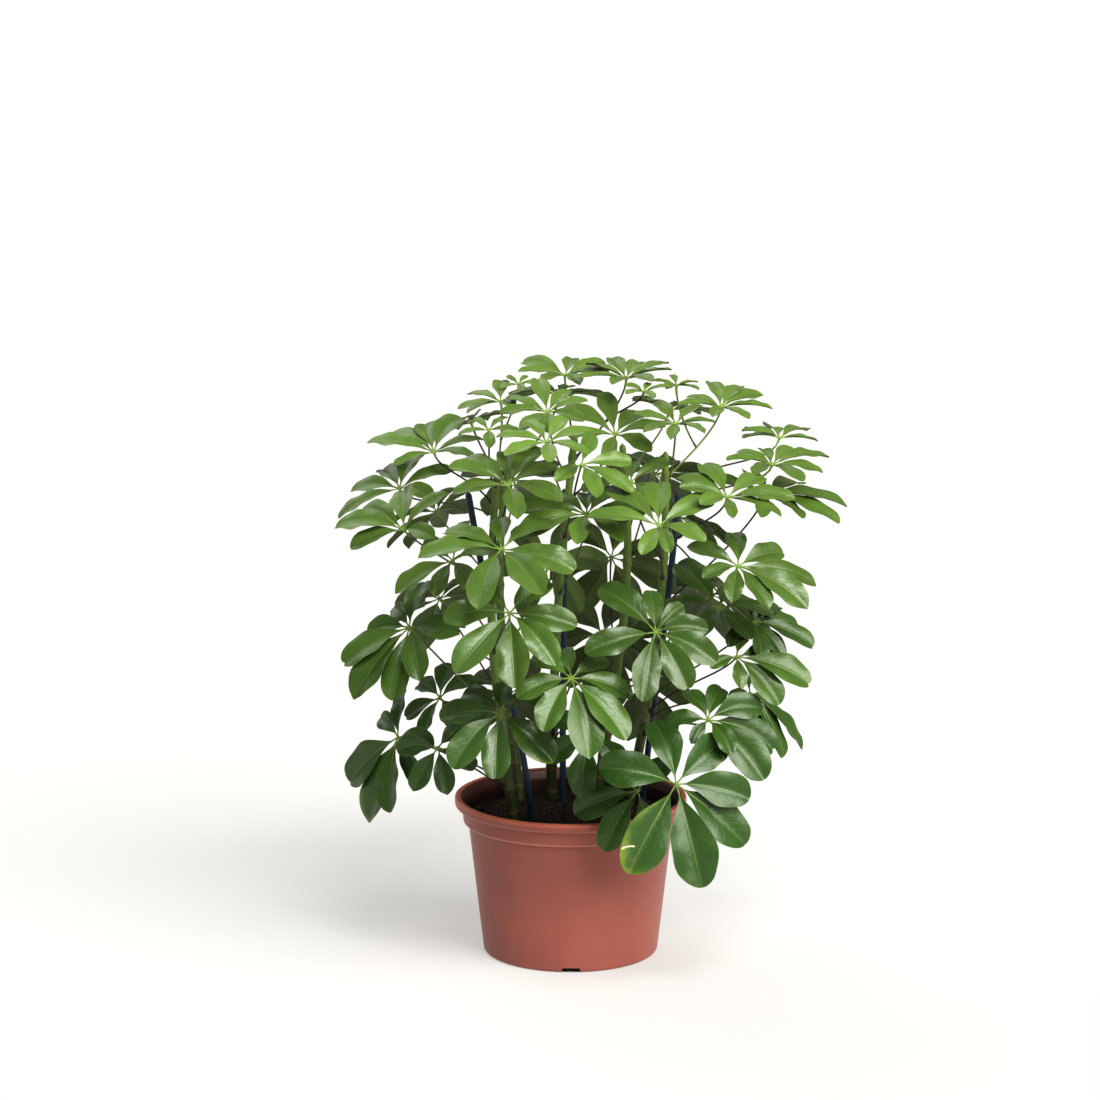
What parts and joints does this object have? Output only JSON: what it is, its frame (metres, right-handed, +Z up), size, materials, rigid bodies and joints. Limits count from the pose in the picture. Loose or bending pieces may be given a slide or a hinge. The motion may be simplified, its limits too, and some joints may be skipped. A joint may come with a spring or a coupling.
{
  "type": "potted umbrella plant",
  "caption": "Umbrella plant in a round terracotta-coloured nursery pot: green stems on thin stakes carry long-stalked leaves of radiating glossy leaflets.",
  "frame": {"origin": "middle of the pot's flat underside, on the surface that the pot stands on", "axes": "+Z up along the pot's axis, -Y towards the front that the picture shows, +X to the right in it"},
  "size_m": [0.5227, 0.5132, 0.6123],
  "materials": {
    "pot": "satin",
    "soil": "matte",
    "stake": "satin",
    "stem": "satin",
    "leaf": "satin",
    "young_leaf": "satin"
  },
  "bodies": {
    "root": {"pot": "pot", "soil": "soil", "stake_left": "stake", "stake_centre": "stake", "stake_right": "stake", "stem_left": "stem", "stem_centre": "stem", "stem_right": "stem", "stem_back_left": "stem", "stem_back_right": "stem", "leaf_01": "leaf", "leaf_02": "leaf", "leaf_03": "leaf", "leaf_04": "leaf", "leaf_05": "leaf", "leaf_06": "leaf", "leaf_07": "leaf", "leaf_08": "leaf", "leaf_09": "leaf", "leaf_10": "leaf", "leaf_11": "leaf", "leaf_12": "leaf", "leaf_13": "leaf", "leaf_14": "leaf", "leaf_15": "young_leaf", "leaf_16": "leaf", "leaf_17": "leaf", "leaf_18": "leaf", "leaf_19": "young_leaf", "leaf_20": "young_leaf", "leaf_21": "leaf", "leaf_22": "leaf", "leaf_23": "leaf", "leaf_24": "leaf", "leaf_25": "young_leaf", "leaf_26": "young_leaf", "leaf_27": "young_leaf", "leaf_28": "young_leaf", "leaf_29": "young_leaf", "leaf_30": "young_leaf", "leaf_31": "young_leaf", "leaf_32": "young_leaf", "leaf_33": "young_leaf", "leaf_34": "leaf", "leaf_35": "leaf", "leaf_36": "leaf", "leaf_37": "leaf", "leaf_38": "leaf", "leaf_39": "leaf", "leaf_40": "leaf", "leaf_41": "young_leaf", "leaf_42": "young_leaf", "leaf_43": "young_leaf", "leaf_44": "leaf", "leaf_45": "leaf", "leaf_46": "leaf", "leaf_47": "leaf", "leaf_48": "leaf", "leaf_49": "leaf", "leaf_50": "leaf"}
  },
  "joints": []
}
